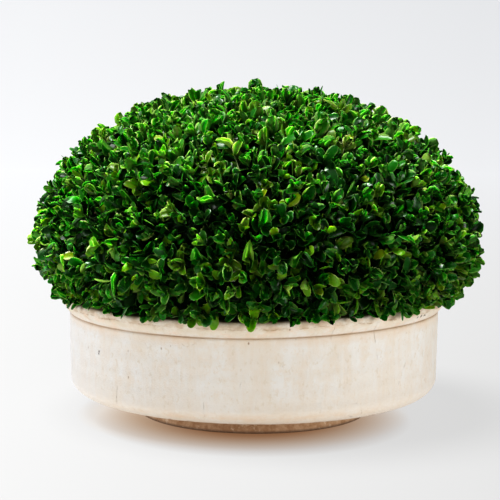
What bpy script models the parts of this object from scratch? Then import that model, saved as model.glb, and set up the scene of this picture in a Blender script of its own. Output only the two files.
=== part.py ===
"""A clipped boxwood dome, preserved, in a low round terracotta bowl.

Four sub-parts, in metres with +Z up. The origin is the middle of the bowl's flat foot:
the bowl, the filling inside it, the short stem that stands on the filling, and the crown,
which is one dense mass of sprigs and leaves standing out of a core.
"""

import math
from random import Random

import bmesh
import bpy
from mathutils import Matrix, Vector
from mathutils.bvhtree import BVHTree

# Bowl: the lip's outer diameter drives the rest
LIP_RADIUS = 0.190
LIP_TOP_Z = 0.1190
LIP_ROUND = 0.0035
LIP_FLARE = 0.0065
LIP_FLARE_POWER = 1.85
NECK_RADIUS = LIP_RADIUS - LIP_FLARE
GROOVE_Z = 0.1030
GROOVE_DEPTH = 0.0013
GROOVE_HALF = 0.0008
WALL = 0.0125
BODY_FOOT_RADIUS = NECK_RADIUS - 0.0010
UNDERSIDE_Z = 0.0205
CORNER_WIDTH = 0.0220
CORNER_HEIGHT = 0.0170
FOOT_RADIUS = 0.1145
FOOT_FILLET = 0.0015
INNER_RADIUS = NECK_RADIUS - WALL
FLOOR_Z = UNDERSIDE_Z + 0.0140
INNER_ROUND = 0.0150
BOWL_SIDES = 64

# Gaps between neighbours: resting faces, and leaves beside the lip
CLEAR = 0.0003
LEAF_CLEAR = 0.0010
MERGE_DISTANCE = 0.00005

# Filling and stem
FILL_TOP_Z = 0.0980
FILL_SIDES = 48
STEM_TOP_Z = 0.1400
STEM_TOP_RADIUS = 0.0095
STEM_TAPER = 0.0025
STEM_FLARE = 0.0085
STEM_FLARE_HEIGHT = 0.0080
STEM_ROWS = 8
STEM_ROW_POWER = 1.4
STEM_SIDES = 20

# Crown: the clipped outline that the leaf tips reach, a superellipse turned about Z
CROWN_RADIUS = 0.2230
CROWN_EQUATOR_Z = 0.1684
CROWN_RISE = 0.1576
CROWN_DROP = 0.1006
CROWN_POWER = 2.1
CROWN_SKIRT_Z = 0.1260
OUTLINE_STEPS = 200
EDGE_STEPS = 8

# Core: the same outline drawn in, with a hollow underside round the stem
CORE_INSET = 0.0280
CORE_SKIRT_Z = LIP_TOP_Z + 0.0040
CORE_THROAT_RADIUS = INNER_RADIUS - 0.0080
CORE_UNDER_Z = 0.1060
CORE_HOLLOW_RADIUS = 0.0200
CORE_HOLLOW_Z = 0.1600
CORE_HOLLOW_ROUND = 0.0020
CORE_ROWS = 8
CORE_SIDES = 32

# Sprigs and leaves
SEED = 41
SPRIG_COUNT = 114
SPRIG_DEPTH = 0.0240
SPRIG_STRAY = 0.16
TWIG_LENGTH = 0.0210
TWIG_ROOT_RADIUS = 0.0024
TWIG_TIP_RADIUS = 0.0016
TWIG_SIDES = 3
TWIG_TIP = 0.0020
LEAF_LENGTH = 0.0370
LEAF_SHORTEST = 0.65
LEAF_LONGEST = 1.15
LEAF_SHRINK = 0.90
LENGTH_STEP = 0.00005
LEAF_WIDTH = 0.62
LEAF_THICKNESS = 0.055
LEAF_WIDEST = 0.60
LEAF_RIDGE = 0.30
LEAF_SUNK = 0.0045
PAIR_SPLAYS = (math.radians(62), math.radians(32))
PAIR_SETBACK = 0.0050
LEAF_TILT = 0.3
SPIN_TRIES = 8
GOLDEN_ANGLE = math.pi * (3 - math.sqrt(5))
SMOOTH_ANGLE = math.radians(35)


def clear_scene():
    for obj in list(bpy.data.objects):
        bpy.data.objects.remove(obj, do_unlink=True)


def new_collection(name):
    collection = bpy.data.collections.new(name)
    bpy.context.scene.collection.children.link(collection)
    return collection


def make_material(name, colour, roughness):
    material = bpy.data.materials.new(name)
    material.use_nodes = True
    shader = material.node_tree.nodes["Principled BSDF"]
    shader.inputs["Base Color"].default_value = (*colour, 1.0)
    shader.inputs["Roughness"].default_value = roughness
    shader.inputs["Metallic"].default_value = 0.0
    return material


def add_object(name, mesh, collection):
    obj = bpy.data.objects.new(name, mesh)
    collection.objects.link(obj)
    return obj


def turned(name, profile, sides, material, collection):
    """A solid turned about Z from (radius, height) points whose two ends lie on the axis."""
    shape = bmesh.new()
    points = [shape.verts.new((radius, 0.0, height)) for radius, height in profile]
    for start, end in zip(points, points[1:]):
        shape.edges.new((start, end))
    mesh = bpy.data.meshes.new(name)
    shape.to_mesh(mesh)
    shape.free()
    mesh.materials.append(material)
    obj = add_object(name, mesh, collection)
    screw = obj.modifiers.new("Turn", "SCREW")
    screw.axis = "Z"
    screw.steps = sides
    screw.render_steps = sides
    screw.use_merge_vertices = True
    screw.merge_threshold = MERGE_DISTANCE
    screw.use_smooth_shade = True
    return obj


def arc(centre, radii, start_degrees, end_degrees, steps):
    """Points on an elliptical arc, as (radius, height)."""
    points = []
    for step in range(steps + 1):
        angle = math.radians(start_degrees + (end_degrees - start_degrees) * step / steps)
        points.append((centre[0] + radii[0] * math.cos(angle), centre[1] + radii[1] * math.sin(angle)))
    return points


# Bowl and what it holds
def lip_face(steps):
    """The lip's outer face, which curves in from its widest ring down to the groove."""
    top = LIP_TOP_Z - LIP_ROUND
    bottom = GROOVE_Z + GROOVE_HALF
    points = []
    for step in range(1, steps + 1):
        share = step / steps
        radius = NECK_RADIUS + LIP_FLARE * (1 - share**LIP_FLARE_POWER)
        points.append((radius, top + (bottom - top) * share))
    return points


def bowl_profile():
    round_in = (INNER_ROUND, INNER_ROUND)
    round_lip = (LIP_ROUND, LIP_ROUND)
    lip_z = LIP_TOP_Z - LIP_ROUND
    corner_radius = BODY_FOOT_RADIUS - CORNER_WIDTH
    corner_z = UNDERSIDE_Z + CORNER_HEIGHT
    profile = [(0.0, FLOOR_Z)]
    profile += arc((INNER_RADIUS - INNER_ROUND, FLOOR_Z + INNER_ROUND), round_in, -90, 0, 3)
    profile += arc((INNER_RADIUS + LIP_ROUND, lip_z), round_lip, 180, 90, 2)
    profile += arc((LIP_RADIUS - LIP_ROUND, lip_z), round_lip, 90, 0, 3)
    profile += lip_face(4)
    profile += [(NECK_RADIUS - GROOVE_DEPTH, GROOVE_Z), (NECK_RADIUS, GROOVE_Z - GROOVE_HALF)]
    profile += arc((corner_radius, corner_z), (CORNER_WIDTH, CORNER_HEIGHT), 0, -90, 6)
    profile += [(FOOT_RADIUS + FOOT_FILLET, UNDERSIDE_Z), (FOOT_RADIUS, UNDERSIDE_Z - FOOT_FILLET)]
    profile += [(FOOT_RADIUS, FOOT_FILLET), (FOOT_RADIUS - FOOT_FILLET, 0.0), (0.0, 0.0)]
    return profile


def fill_profile():
    radius = INNER_RADIUS - CLEAR
    floor = FLOOR_Z + CLEAR
    bottom = arc((INNER_RADIUS - INNER_ROUND, FLOOR_Z + INNER_ROUND),
                 (INNER_ROUND - CLEAR, INNER_ROUND - CLEAR), 0, -90, 3)
    return [(0.0, FILL_TOP_Z), (radius, FILL_TOP_Z)] + bottom + [(0.0, floor)]


def stem_radius(height):
    """Radius above the flat cut: a slow taper on top of a quick flare at the foot."""
    share = height / (STEM_TOP_Z - FILL_TOP_Z)
    return STEM_TOP_RADIUS + STEM_TAPER * (1 - share) + STEM_FLARE * math.exp(-height / STEM_FLARE_HEIGHT)


def stem_profile():
    foot = FILL_TOP_Z + CLEAR
    length = STEM_TOP_Z - foot
    rows = [length * (1 - row / STEM_ROWS) ** STEM_ROW_POWER for row in range(STEM_ROWS + 1)]
    sides = [(stem_radius(height), foot + height) for height in rows]
    return [(0.0, STEM_TOP_Z)] + sides + [(0.0, foot)]


# Crown
def crown_level(point):
    """1 on the clipped outline, less inside it, more outside."""
    rise = CROWN_RISE if point.z > CROWN_EQUATOR_Z else CROWN_DROP
    across = math.hypot(point.x, point.y) / CROWN_RADIUS
    along = abs(point.z - CROWN_EQUATOR_Z) / rise
    return across**CROWN_POWER + along**CROWN_POWER


def crown_outline(skirt_z, steps, inset=0.0):
    """(radius, height) points from the top down to the skirt, drawn in at the top and sides."""
    lowest = -math.asin(((CROWN_EQUATOR_Z - skirt_z) / CROWN_DROP) ** (CROWN_POWER / 2))
    points = []
    for step in range(steps + 1):
        angle = math.pi / 2 + (lowest - math.pi / 2) * step / steps
        rise = CROWN_RISE - inset if angle > 0 else CROWN_DROP
        across = max(0.0, math.cos(angle)) ** (2 / CROWN_POWER)
        along = math.copysign(abs(math.sin(angle)) ** (2 / CROWN_POWER), angle)
        points.append(((CROWN_RADIUS - inset) * across, CROWN_EQUATOR_Z + rise * along))
    return points


def crown_normal(point):
    """The way out of the outline at this point."""
    rise = CROWN_RISE if point.z > CROWN_EQUATOR_Z else CROWN_DROP
    ring = math.hypot(point.x, point.y)
    across = (ring / CROWN_RADIUS) ** (CROWN_POWER - 1) / CROWN_RADIUS
    height = point.z - CROWN_EQUATOR_Z
    along = math.copysign((abs(height) / rise) ** (CROWN_POWER - 1) / rise, height)
    share = across / ring if ring > 1e-6 else 0.0
    return Vector((point.x * share, point.y * share, along)).normalized()


def even_points(count):
    """Points spread evenly over the outline: equal areas down it, a golden angle round it."""
    outline = crown_outline(CROWN_SKIRT_Z, OUTLINE_STEPS)
    areas = [0.0]
    for (r0, z0), (r1, z1) in zip(outline, outline[1:]):
        areas.append(areas[-1] + (r0 + r1) * math.hypot(r1 - r0, z1 - z0))
    points = []
    row = 0
    for index in range(count):
        wanted = areas[-1] * index / (count - 1)
        while row < OUTLINE_STEPS - 1 and areas[row + 1] < wanted:
            row += 1
        share = (wanted - areas[row]) / (areas[row + 1] - areas[row])
        radius = outline[row][0] + (outline[row + 1][0] - outline[row][0]) * share
        height = outline[row][1] + (outline[row + 1][1] - outline[row][1]) * share
        angle = index * GOLDEN_ANGLE
        points.append(Vector((radius * math.cos(angle), radius * math.sin(angle), height)))
    return points


def core_profile():
    """The drawn-in outline, a throat inside the lip, and a hollow round the stem."""
    outline = crown_outline(CORE_SKIRT_Z, CORE_ROWS, CORE_INSET)
    outline[0] = (0.0, outline[0][1])
    throat = [(CORE_THROAT_RADIUS, LIP_TOP_Z), (CORE_THROAT_RADIUS, CORE_UNDER_Z)]
    hollow = [(CORE_HOLLOW_RADIUS, CORE_HOLLOW_Z), (STEM_TOP_RADIUS, CORE_HOLLOW_Z - CORE_HOLLOW_ROUND)]
    stub = [(STEM_TOP_RADIUS, STEM_TOP_Z + CLEAR), (0.0, STEM_TOP_Z + CLEAR)]
    return outline + throat + hollow + stub


def leaf_mesh():
    """One leaf of unit length along +X, eight faces: root, tip, two sides, two ridges."""
    shape = bmesh.new()
    bmesh.ops.create_uvsphere(shape, u_segments=4, v_segments=2, radius=0.5)
    for vertex in shape.verts:
        across, up, along = vertex.co
        if abs(along) > 0.4:
            vertex.co = (along + 0.5, 0.0, 0.0)
        elif abs(across) > 0.4:
            vertex.co = (LEAF_WIDEST, across * LEAF_WIDTH, 0.0)
        else:
            vertex.co = (LEAF_RIDGE, 0.0, up * LEAF_THICKNESS)
    bmesh.ops.recalc_face_normals(shape, faces=shape.faces)
    mesh = bpy.data.meshes.new("leaf")
    shape.to_mesh(mesh)
    shape.free()
    return mesh


def twig_mesh():
    """One twig of unit length along +X, thick at its root."""
    shape = bmesh.new()
    bmesh.ops.create_cone(shape, cap_ends=True, segments=TWIG_SIDES, depth=1.0,
                          radius1=TWIG_ROOT_RADIUS / TWIG_LENGTH, radius2=TWIG_TIP_RADIUS / TWIG_LENGTH)
    bmesh.ops.translate(shape, verts=shape.verts, vec=(0.0, 0.0, 0.5))
    bmesh.ops.rotate(shape, verts=shape.verts, matrix=Matrix.Rotation(math.pi / 2, 3, "Y"))
    mesh = bpy.data.meshes.new("twig")
    shape.to_mesh(mesh)
    shape.free()
    return mesh


def placement(root, along, face, length):
    """A matrix that puts a unit shape at root, along one way and facing another."""
    side = face.cross(along).normalized()
    top = along.cross(side)
    turn = Matrix((along, side, top)).transposed().to_4x4()
    return Matrix.Translation(root) @ turn @ Matrix.Scale(length, 4)


def clears_bowl(mesh, matrix):
    """True where no edge of the placed shape comes near the bowl's lip."""
    corners = [matrix @ vertex.co for vertex in mesh.vertices]
    for edge in mesh.edges:
        start, end = (corners[index] for index in edge.vertices)
        for step in range(EDGE_STEPS + 1):
            point = start.lerp(end, step / EDGE_STEPS)
            ring = math.hypot(point.x, point.y)
            over_lip = INNER_RADIUS - LEAF_CLEAR < ring < LIP_RADIUS + LEAF_CLEAR
            if over_lip and point.z < LIP_TOP_Z + LEAF_CLEAR:
                return False
    return True


def fitted_length(root, along):
    """The length at which a leaf's tip just touches the outline, or None if none suits."""
    shortest = LEAF_LENGTH * LEAF_SHORTEST
    longest = LEAF_LENGTH * LEAF_LONGEST
    if crown_level(root + along * shortest) > 1:
        return None
    if crown_level(root + along * longest) < 1:
        return longest
    while longest - shortest > LENGTH_STEP:
        middle = (shortest + longest) / 2
        if crown_level(root + along * middle) > 1:
            longest = middle
        else:
            shortest = middle
    return shortest


def placed_shell(mesh, matrix):
    """The placed shape's faces, ready to be tested against another's."""
    corners = [matrix @ vertex.co for vertex in mesh.vertices]
    return BVHTree.FromPolygons(corners, [face.vertices[:] for face in mesh.polygons])


def clear_leaf(root, direction, face, leaf, neighbours):
    """The longest of a few lengths at which a leaf touches nothing, as (matrix, shell)."""
    length = fitted_length(root, direction)
    while length and length > LEAF_LENGTH * LEAF_SHORTEST:
        matrix = placement(root, direction, face, length)
        shell = placed_shell(leaf, matrix)
        if clears_bowl(leaf, matrix) and not any(shell.overlap(other) for other in neighbours):
            return matrix, shell
        length *= LEAF_SHRINK
    return None


def leaf_pairs(end, along, spin, chance, leaf, neighbours):
    """Two crossed pairs of leaves near the end of a twig, less those that find no room."""
    aside = along.orthogonal().normalized()
    kept = []
    for pair, splay in enumerate(PAIR_SPLAYS):
        root = end - along * (LEAF_SUNK + PAIR_SETBACK * (1 - pair))
        for half in range(2):
            turn = Matrix.Rotation(spin + math.pi * half + math.pi / 2 * pair, 3, along)
            outward = turn @ aside
            lean = splay * chance.uniform(0.85, 1.1)
            direction = (along * math.cos(lean) + outward * math.sin(lean)).normalized()
            found = clear_leaf(root, direction, along - outward * LEAF_TILT, leaf, neighbours)
            if found:
                kept.append(found)
    return kept


def add_sprig(point, chance, leaf, twig, placed, collection):
    """One twig out of the core and, at its end, the turn of leaves that fits best there."""
    stray = Vector((chance.gauss(0, 1), chance.gauss(0, 1), chance.gauss(0, 1))) * SPRIG_STRAY
    along = (crown_normal(point) + stray).normalized()
    end = point - along * SPRIG_DEPTH
    stem = placement(end - along * (TWIG_LENGTH - TWIG_TIP), along, along.orthogonal(), TWIG_LENGTH)
    if not clears_bowl(twig, stem):
        return
    reach = 2 * LEAF_LENGTH * LEAF_LONGEST
    neighbours = [shell for other, shell in placed if (other - end).length < reach]
    first_spin = chance.uniform(0, math.pi)
    best = []
    for attempt in range(SPIN_TRIES):
        spin = first_spin + math.pi * attempt / SPIN_TRIES
        found = leaf_pairs(end, along, spin, chance, leaf, neighbours)
        if len(found) > len(best):
            best = found
    shell = placed_shell(twig, stem)
    if not best or any(shell.overlap(other) for other in neighbours):
        return
    add_object("twig", twig, collection).matrix_world = stem
    placed.append((end, shell))
    for matrix, shell in best:
        add_object("leaf", leaf, collection).matrix_world = matrix
        placed.append((end, shell))


def keep_largest_shell(mesh):
    """Drop loose scraps and fill sealed hollows: only the shell with most faces stays."""
    shape = bmesh.new()
    shape.from_mesh(mesh)
    waiting = set(shape.faces)
    shells = []
    while waiting:
        shell = {waiting.pop()}
        front = list(shell)
        while front:
            face = front.pop()
            for edge in face.edges:
                for other in edge.link_faces:
                    if other in waiting:
                        waiting.remove(other)
                        shell.add(other)
                        front.append(other)
        shells.append(shell)
    shells.sort(key=len)
    spare = [face for shell in shells[:-1] for face in shell]
    bmesh.ops.delete(shape, geom=spare, context="FACES")
    shape.to_mesh(mesh)
    shape.free()


def make_crown(material, collection):
    core = turned("foliage_dome", core_profile(), CORE_SIDES, material, collection)
    sprigs = new_collection("sprigs")
    chance = Random(SEED)
    leaf = leaf_mesh()
    twig = twig_mesh()
    placed = []
    for point in even_points(SPRIG_COUNT):
        add_sprig(point, chance, leaf, twig, placed, sprigs)
    union = core.modifiers.new("Join", "BOOLEAN")
    union.operation = "UNION"
    union.operand_type = "COLLECTION"
    union.collection = sprigs
    graph = bpy.context.evaluated_depsgraph_get()
    joined = bpy.data.meshes.new_from_object(core.evaluated_get(graph))
    core.modifiers.clear()
    core.data = joined
    for obj in list(sprigs.objects):
        bpy.data.objects.remove(obj, do_unlink=True)
    bpy.data.collections.remove(sprigs)
    keep_largest_shell(joined)
    joined.shade_smooth()
    joined.set_sharp_from_angle(angle=SMOOTH_ANGLE)
    return core


def main():
    clear_scene()
    plant = new_collection("potted_boxwood")
    terracotta = make_material("whitewashed_terracotta", (0.75, 0.66, 0.56), 0.85)
    filling = make_material("brown_filling", (0.10, 0.065, 0.04), 0.95)
    bark = make_material("stem_bark", (0.20, 0.14, 0.08), 0.85)
    leaves = make_material("boxwood_leaves", (0.035, 0.13, 0.02), 0.45)
    turned("pot", bowl_profile(), BOWL_SIDES, terracotta, plant)
    turned("pot_fill", fill_profile(), FILL_SIDES, filling, plant)
    turned("stem", stem_profile(), STEM_SIDES, bark, plant)
    make_crown(leaves, plant)


main()
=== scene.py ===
"""Looks of a clipped, preserved boxwood dome in a low whitewashed terracotta bowl.

The bowl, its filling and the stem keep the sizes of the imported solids. The foliage is grown
again by the rule that the solids follow, with finer sprigs: equal areas down the clipped
outline, a golden angle round it, and crossed pairs of leaves along each sprig.
"""

import math

import bpy
import numpy as np
from mathutils import Matrix, Vector, noise


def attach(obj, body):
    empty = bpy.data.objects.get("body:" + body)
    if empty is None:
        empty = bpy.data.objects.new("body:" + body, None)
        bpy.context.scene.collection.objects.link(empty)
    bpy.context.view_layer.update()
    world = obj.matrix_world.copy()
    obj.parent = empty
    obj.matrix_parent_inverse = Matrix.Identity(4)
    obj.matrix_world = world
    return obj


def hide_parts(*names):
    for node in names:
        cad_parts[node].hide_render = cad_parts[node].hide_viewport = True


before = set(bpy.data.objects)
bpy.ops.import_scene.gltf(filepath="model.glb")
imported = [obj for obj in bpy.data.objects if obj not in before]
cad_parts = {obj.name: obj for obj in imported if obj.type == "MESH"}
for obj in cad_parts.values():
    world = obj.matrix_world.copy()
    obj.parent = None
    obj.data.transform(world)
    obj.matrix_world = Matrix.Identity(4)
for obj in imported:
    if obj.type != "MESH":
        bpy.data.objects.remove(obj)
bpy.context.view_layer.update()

# Bowl
LIP_RADIUS = 0.190
LIP_TOP_Z = 0.1190
LIP_ROUND = 0.0035
LIP_FLARE = 0.0065
LIP_FLARE_POWER = 1.85
NECK_RADIUS = LIP_RADIUS - LIP_FLARE
GROOVE_Z = 0.1030
GROOVE_DEPTH = 0.0013
GROOVE_HALF = 0.0008
WALL = 0.0125
BODY_FOOT_RADIUS = NECK_RADIUS - 0.0010
UNDERSIDE_Z = 0.0205
CORNER_WIDTH = 0.0220
CORNER_HEIGHT = 0.0170
FOOT_RADIUS = 0.1145
FOOT_FILLET = 0.0015
INNER_RADIUS = NECK_RADIUS - WALL
FLOOR_Z = UNDERSIDE_Z + 0.0140
INNER_ROUND = 0.0150
LIP_TILT = 0.0051
LIP_LIFT = 0.085
BOWL_SIDES = 540
HAND_WAVE = 0.00035

# Filling and stem
FILL_TOP_Z = 0.0980
STEM_TOP_Z = 0.1400
STEM_TOP_RADIUS = 0.0095
STEM_TAPER = 0.0025
STEM_FLARE = 0.0085
STEM_FLARE_HEIGHT = 0.0080
CLEAR = 0.0003

STEM_DARK = (0.07, 0.045, 0.028)
STEM_LIGHT = (0.24, 0.17, 0.10)

# Bowl colours and marks: azimuth in degrees, height and radius in metres
WASH_CREAM = (0.81, 0.745, 0.655)
WASH_PALE = (0.83, 0.795, 0.74)
# Painted light: the white that the bowl's left side turns to, where the lamp falls.
PAINTED_LIGHT_WHITE = (0.84, 0.82, 0.79)
WASH_WARM = (0.80, 0.705, 0.590)
WASH_PEACH = (0.78, 0.61, 0.45)
WASH_TAN = (0.71, 0.61, 0.47)
WASH_ROSY = (0.80, 0.62, 0.47)
SEAM_BROWN = (0.34, 0.235, 0.15)
CLAY_TAN = (0.52, 0.37, 0.24)
CLAY_BROWN = (0.38, 0.235, 0.13)
# Dark of the pits, and of the painted shadow along the foot's bottom edge.
DARK_PITS_AND_SHADOW = (0.12, 0.09, 0.07)
LIP_RUB_Z = 0.1125
BOWL_MARKS = (
    (-35.0, 0.1112, 0.0011),
    (-33.0, 0.1117, 0.0014),
    (-31.0, 0.1114, 0.0010),
    (-31.5, 0.1068, 0.0010),
    (-30.2, 0.1108, 0.0008),
    (-142.4, 0.0778, 0.0009),
    (-142.6, 0.0755, 0.0007),
)

# Crown outline
CROWN_RADIUS = 0.2230
CROWN_EQUATOR_Z = 0.1684
CROWN_RISE = 0.1576
CROWN_DROP = 0.1006
CROWN_POWER = 2.1
CROWN_SKIRT_Z = 0.1205
OUTLINE_STEPS = 400
FORM_INSET = 0.0340

# Foliage: each node of a sprig as depth from its tip, leaf splay in degrees, leaf length, fine
SEED = 41
SPRIG_COUNT = 1330
GOLDEN_ANGLE = math.pi * (3 - math.sqrt(5))
SPRIG_STRAY = 0.28
SPRIG_LIFT = 0.14
SPRIG_INSET = (0.004, 0.017)
CLIPPED_BACK = (0.0018, 0.0033)
SPRIG_NODES = (
    (0.0018, 11, 0.0108, "tip"),
    (0.0050, 24, 0.0150, "outer"),
    (0.0095, 37, 0.0165, "second"),
    (0.0152, 50, 0.0172, "lower"),
    (0.0228, 62, 0.0172, "inner"),
)
SKIRT_SPRIGS = 110
SKIRT_RADIUS = (0.186, 0.197)
SKIRT_Z = (0.1215, 0.1285)
SKIRT_DIP = (-0.30, 0.25)
LEAF_WIDTH_SHARE = 0.61
LEAF_THICKNESS = 0.00035
DEEPEST_NOTCH = 0.055
SHORTEST_LEAF = 0.0060
OUTLINE_LIMIT = 1.085
CROWN_ASIDE = 0.0038
BOWL_CLEAR = 0.0004
PIECE_TRIANGLES = 190000
BOUGH_COUNT = 60
BOUGH_SIDES = 8
BOUGH_ROWS = 9
BOUGH_ROOT_Z = STEM_TOP_Z - 0.007
BOUGH_ROOT_RADIUS = 0.0038
BOUGH_TIP_RADIUS = 0.0012
BOUGH_TIP_DEPTH = 0.0270
TWIG_ROOT_DEPTH = 0.0420
TWIG_ROOT_RADIUS = 0.0010
TWIG_TIP_RADIUS = 0.0005
TWIG_ROWS = 5
TWIG_SIDES = 4

# Leaf colours: family, share of the sprigs, gloss, blade, margin, underside
# Margins are paler than the blades: partly the leaf's own pale edge, partly a painted highlight along the lit rim.
FAMILIES = (
    ("deep", 0.30, 0.25, (0.005, 0.074, 0.003), (0.052, 0.152, 0.028), (0.058, 0.142, 0.026)),
    ("mid", 0.28, 0.25, (0.009, 0.114, 0.003), (0.064, 0.198, 0.030), (0.070, 0.176, 0.028)),
    ("fresh", 0.14, 0.25, (0.028, 0.160, 0.004), (0.094, 0.242, 0.032), (0.098, 0.220, 0.030)),
    ("olive", 0.13, 0.25, (0.060, 0.132, 0.003), (0.112, 0.195, 0.030), (0.112, 0.182, 0.028)),
    ("glossy", 0.15, 0.65, (0.007, 0.080, 0.005), (0.066, 0.168, 0.042), (0.068, 0.152, 0.038)),
    ("lime", 0.00, 0.20, (0.120, 0.270, 0.006), (0.180, 0.340, 0.035), (0.160, 0.270, 0.050)),
    ("yellow", 0.00, 0.20, (0.190, 0.290, 0.008), (0.260, 0.380, 0.045), (0.200, 0.280, 0.060)),
    # Painted shade: the two darkest families below are darker copies of the leaves, dealt to leaves deeper in the
    # sprigs.
    ("half_shade", 0.00, 0.10, (0.002, 0.018, 0.001), (0.028, 0.086, 0.016), (0.010, 0.036, 0.005)),
    ("shade", 0.00, 0.05, (0.001, 0.005, 0.001), (0.002, 0.011, 0.001), (0.002, 0.008, 0.001)),
)
LIME, YELLOW, HALF_SHADE, SHADE = 5, 6, 7, 8
# Lime is the leaves' own fresh colour, but its share rising towards the skirt and the top is a painted light, where
# the floor and the overhead lamp light the crown.
LIME_LEAN = (0.0, 0.25, 0.80, 0.95)
LIME_SHARE = (0.15, 0.050, 0.055, 0.10)
YELLOW_SHARE = 0.010
# Painted shade: the share of each kind of leaf that takes the darker copies, by how far the crown faces up; fewest on
# top, where the light falls.
HALF_SHADE_LEAN = (0.0, 0.22, 0.60, 0.92)
HALF_SHADE_SHARE = {
    "outer": (0.04, 0.47, 0.30, 0.0),
    "second": (0.22, 0.92, 0.60, 0.0),
    "lower": (0.85, 0.97, 0.90, 0.10),
}
BLADE_ROUGHNESS = 0.30
MARGIN_ROUGHNESS = 0.45
UNDERSIDE_ROUGHNESS = 0.60
UNDERSIDE_GLOSS = 0.15
LEAF_SCATTER = 0.5
LEAF_SCATTER_REACH = (0.30, 1.0, 0.12)
LEAF_SCATTER_SCALE = 0.0010
SHOOT = (0.09, 0.13, 0.035)

# Camera, from the fit to the photograph: metres and radians
CAMERA_DISTANCE = 1.70
CAMERA_HEIGHT = 0.3736
CAMERA_ASIDE = -0.0041
CAMERA_PITCH = 0.1246
CAMERA_ROLL = 0.0067
CAMERA_LENS = 123.6
SENSOR = 36.0

# Stage and light
STAGE_COLOUR = (0.034, 0.034, 0.034)
# Painted light: the floor and the wall glow brighter on the left than on the right, as if lit from the left.
STAGE_GLOW_LEFT = (0.570, 0.570, 0.570)
STAGE_GLOW_RIGHT = (0.490, 0.490, 0.490)
WALL_GLOW_LEFT = (0.583, 0.588, 0.600)
WALL_GLOW_RIGHT = (0.520, 0.526, 0.538)
# Painted shadow and painted reflection on the floor round the bowl's foot: the glow falls to dark brown there, warmed
# by a peach tint as of light thrown down by the clay.
PAINTED_SHADOW_GLOW = (0.22, 0.15, 0.105)
PAINTED_BOUNCE_TINT = (1.0, 0.84, 0.68)
PAINTED_BOUNCE_SPOT = (-0.010, -0.018)
PAINTED_BOUNCE_REACH = (0.108, 0.166)
PAINTED_SHADOW_FORWARD = 0.050
PAINTED_SHADOW_REACH = (0.070, 0.155)
STAGE_HALF = 16.0
STAGE_CURVE_Y = 3.0
STAGE_CURVE = 1.5
WORLD_SEEN = (0.90, 0.90, 0.91)
WORLD_COLOUR = (1.0, 1.0, 1.0)
WORLD_LIGHT = 0.06
LIGHT_AIM_Z = 0.10
LIGHT_WHITE = (1.0, 0.99, 0.97)
LIGHT_PLAIN = (0.97, 0.99, 1.03)
LIGHT_COOL = (0.93, 0.98, 1.08)
LIGHT_WARM = (1.0, 0.95, 0.87)
LIGHTS = (
    ("key_left", (-2.2, -0.6, 0.55), (3.0, 2.0), 44.0, LIGHT_WHITE, "room"),
    ("bounce", (0.0, -1.3, 0.04), (1.8, 0.3), 6.4, LIGHT_WHITE, "foliage"),
    ("bowl_left", (-2.2, -0.5, 0.30), (1.2, 0.6), 16.5, LIGHT_COOL, "bowl"),
    ("bowl_front", (-0.1, -2.2, 0.20), (1.2, 0.4), 4.5, LIGHT_WARM, "bowl"),
    ("bowl_right", (1.9, -1.3, 0.30), (0.9, 0.5), 17.0, LIGHT_PLAIN, "bowl"),
    ("fill_right", (1.9, -1.3, 0.30), (0.9, 0.5), 13.0, LIGHT_WHITE, "foliage"),
)
SUN_FROM = (-0.28, -0.03, 1.0)
SUN_STRENGTH = 6.5
SUN_SPREAD = 0.60
LOOK = "High Contrast"

chance = np.random.default_rng(SEED)


# Helpers
def link(obj):
    bpy.context.scene.collection.objects.link(obj)
    return obj


def mesh_object(name, points, faces, materials, indices=None, smooth=True):
    """An object from arrays: faces is a list of (count, corners) arrays, one per face size."""
    mesh = bpy.data.meshes.new(name)
    points = np.ascontiguousarray(points, np.float32)
    mesh.vertices.add(len(points))
    mesh.vertices.foreach_set("co", points.ravel())
    corners = np.concatenate([group.ravel() for group in faces]).astype(np.int32)
    sizes = np.concatenate([np.full(len(group), group.shape[1]) for group in faces]).astype(np.int32)
    mesh.loops.add(len(corners))
    mesh.loops.foreach_set("vertex_index", corners)
    mesh.polygons.add(len(sizes))
    starts = np.concatenate([[0], np.cumsum(sizes)[:-1]]).astype(np.int32)
    mesh.polygons.foreach_set("loop_start", starts)
    mesh.polygons.foreach_set("loop_total", sizes)
    for material in materials:
        mesh.materials.append(material)
    if indices is not None:
        mesh.polygons.foreach_set("material_index", np.concatenate(indices).astype(np.int32))
    mesh.polygons.foreach_set("use_smooth", np.full(len(sizes), smooth))
    mesh.update(calc_edges=True)
    mesh.validate()
    return link(bpy.data.objects.new(name, mesh))


def arc(centre, radii, start_degrees, end_degrees, steps):
    """Points on an elliptical arc, as (radius, height)."""
    angles = np.radians(np.linspace(start_degrees, end_degrees, steps + 1))
    return [(centre[0] + radii[0] * math.cos(a), centre[1] + radii[1] * math.sin(a)) for a in angles]


def refined(profile, step):
    """The same (radius, height) line with points no further apart than step."""
    points = [profile[0]]
    for start, end in zip(profile, profile[1:]):
        count = max(1, math.ceil(math.dist(start, end) / step))
        for part in range(1, count + 1):
            share = part / count
            points.append(tuple(a + (b - a) * share for a, b in zip(start, end)))
    return points


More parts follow.
